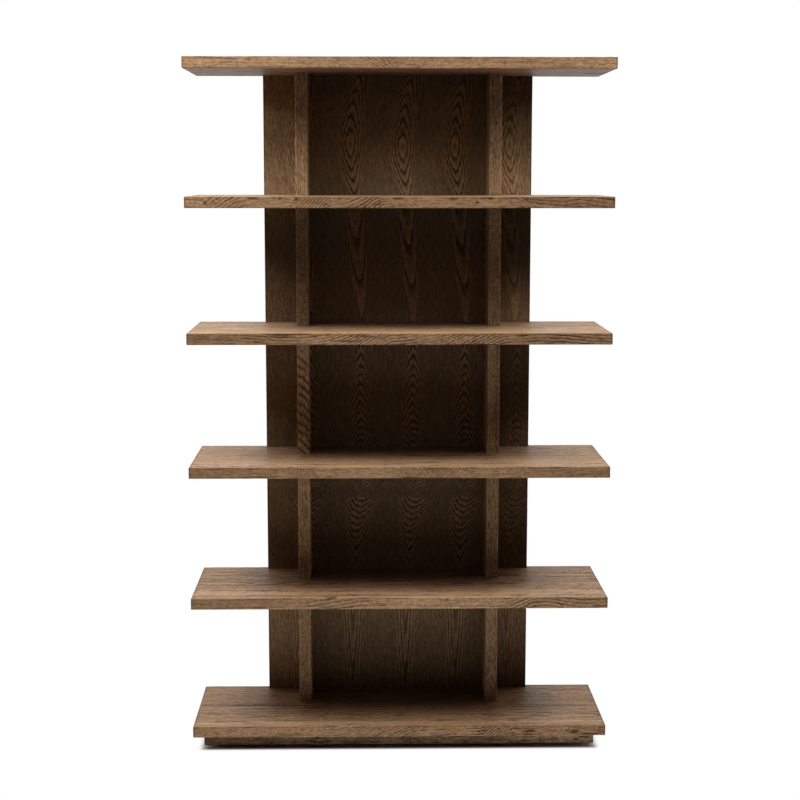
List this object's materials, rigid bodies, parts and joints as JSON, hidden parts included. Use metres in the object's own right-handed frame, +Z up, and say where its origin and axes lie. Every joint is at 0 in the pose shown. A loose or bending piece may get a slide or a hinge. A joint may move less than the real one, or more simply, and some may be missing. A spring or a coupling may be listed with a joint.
{
  "type": "bookcase",
  "caption": "Tall open bookcase in stained oak: wide overhanging shelves on a narrow back with two dividers, over a set-back plinth with levelling feet.",
  "frame": {"origin": "on the floor, under the middle of the shelves' width and depth", "axes": "+Z up, -Y out of the front, +X to the right as seen from the front"},
  "size_m": [1.2, 0.38, 2],
  "materials": {
    "shelf_oak": "stained, brushed and matt",
    "divider_oak": "stained, brushed and matt",
    "back_veneer": "stained crown-cut veneer, matt",
    "plinth_oak": "stained and matt",
    "corner_block_wood": "bare sawn softwood",
    "tenon_wood": "bare planed beech",
    "zinc_steel": "bright zinc plate",
    "pad_plastic": "black moulded nylon"
  },
  "bodies": {
    "carcass": {"base_shelf": "shelf_oak", "shelf_1": "shelf_oak", "shelf_2": "shelf_oak", "shelf_3": "shelf_oak", "shelf_4": "shelf_oak", "top_shelf": "shelf_oak", "back_panel_1": "back_veneer", "back_panel_2": "back_veneer", "back_panel_3": "back_veneer", "back_panel_4": "back_veneer", "back_panel_5": "back_veneer", "left_divider_1": "divider_oak", "right_divider_1": "divider_oak", "left_divider_2": "divider_oak", "right_divider_2": "divider_oak", "left_divider_3": "divider_oak", "right_divider_3": "divider_oak", "left_divider_4": "divider_oak", "right_divider_4": "divider_oak", "left_divider_5": "divider_oak", "right_divider_5": "divider_oak", "plinth_front_rail": "plinth_oak", "plinth_left_rail": "plinth_oak", "plinth_right_rail": "plinth_oak", "plinth_back_rail": "plinth_oak", "plinth_centre_rail": "plinth_oak", "corner_block_front_left": "corner_block_wood", "corner_block_front_right": "corner_block_wood", "corner_block_back_left": "corner_block_wood", "corner_block_back_right": "corner_block_wood", "divider_tenons": "tenon_wood", "back_tenons": "tenon_wood", "foot_inserts": "zinc_steel", "plinth_screws": "zinc_steel"},
    "pad_front_left": {"foot_pad_front_left": "pad_plastic"},
    "stud_front_left": {"foot_stud_front_left": "zinc_steel"},
    "pad_front_right": {"foot_pad_front_right": "pad_plastic"},
    "stud_front_right": {"foot_stud_front_right": "zinc_steel"},
    "pad_back_left": {"foot_pad_back_left": "pad_plastic"},
    "stud_back_left": {"foot_stud_back_left": "zinc_steel"},
    "pad_back_right": {"foot_pad_back_right": "pad_plastic"},
    "stud_back_right": {"foot_stud_back_right": "zinc_steel"}
  },
  "joints": [
    {"name": "foot_front_left_height", "type": "slide", "parent": "carcass", "child": "pad_front_left", "axis": [0, 0, -1], "range_m": [0, 0.012]},
    {"name": "foot_front_left_turn", "type": "hinge", "parent": "pad_front_left", "child": "stud_front_left", "pos_m": [-0.525, -0.07, 0.011], "axis": [0, 0, -1], "range_deg": [0, 3456.01]},
    {"name": "foot_front_right_height", "type": "slide", "parent": "carcass", "child": "pad_front_right", "axis": [0, 0, -1], "range_m": [0, 0.012]},
    {"name": "foot_front_right_turn", "type": "hinge", "parent": "pad_front_right", "child": "stud_front_right", "pos_m": [0.525, -0.07, 0.011], "axis": [0, 0, -1], "range_deg": [0, 3456.01]},
    {"name": "foot_back_left_height", "type": "slide", "parent": "carcass", "child": "pad_back_left", "axis": [0, 0, -1], "range_m": [0, 0.012]},
    {"name": "foot_back_left_turn", "type": "hinge", "parent": "pad_back_left", "child": "stud_back_left", "pos_m": [-0.525, 0.115, 0.011], "axis": [0, 0, -1], "range_deg": [0, 3456.01]},
    {"name": "foot_back_right_height", "type": "slide", "parent": "carcass", "child": "pad_back_right", "axis": [0, 0, -1], "range_m": [0, 0.012]},
    {"name": "foot_back_right_turn", "type": "hinge", "parent": "pad_back_right", "child": "stud_back_right", "pos_m": [0.525, 0.115, 0.011], "axis": [0, 0, -1], "range_deg": [0, 3456.01]}
  ],
  "couplings": [
    {"joint": "foot_front_left_turn", "follows": "foot_front_left_height", "rad_per_m": 5026.5},
    {"joint": "foot_front_right_turn", "follows": "foot_front_right_height", "rad_per_m": 5026.5},
    {"joint": "foot_back_left_turn", "follows": "foot_back_left_height", "rad_per_m": 5026.5},
    {"joint": "foot_back_right_turn", "follows": "foot_back_right_height", "rad_per_m": 5026.5}
  ]
}
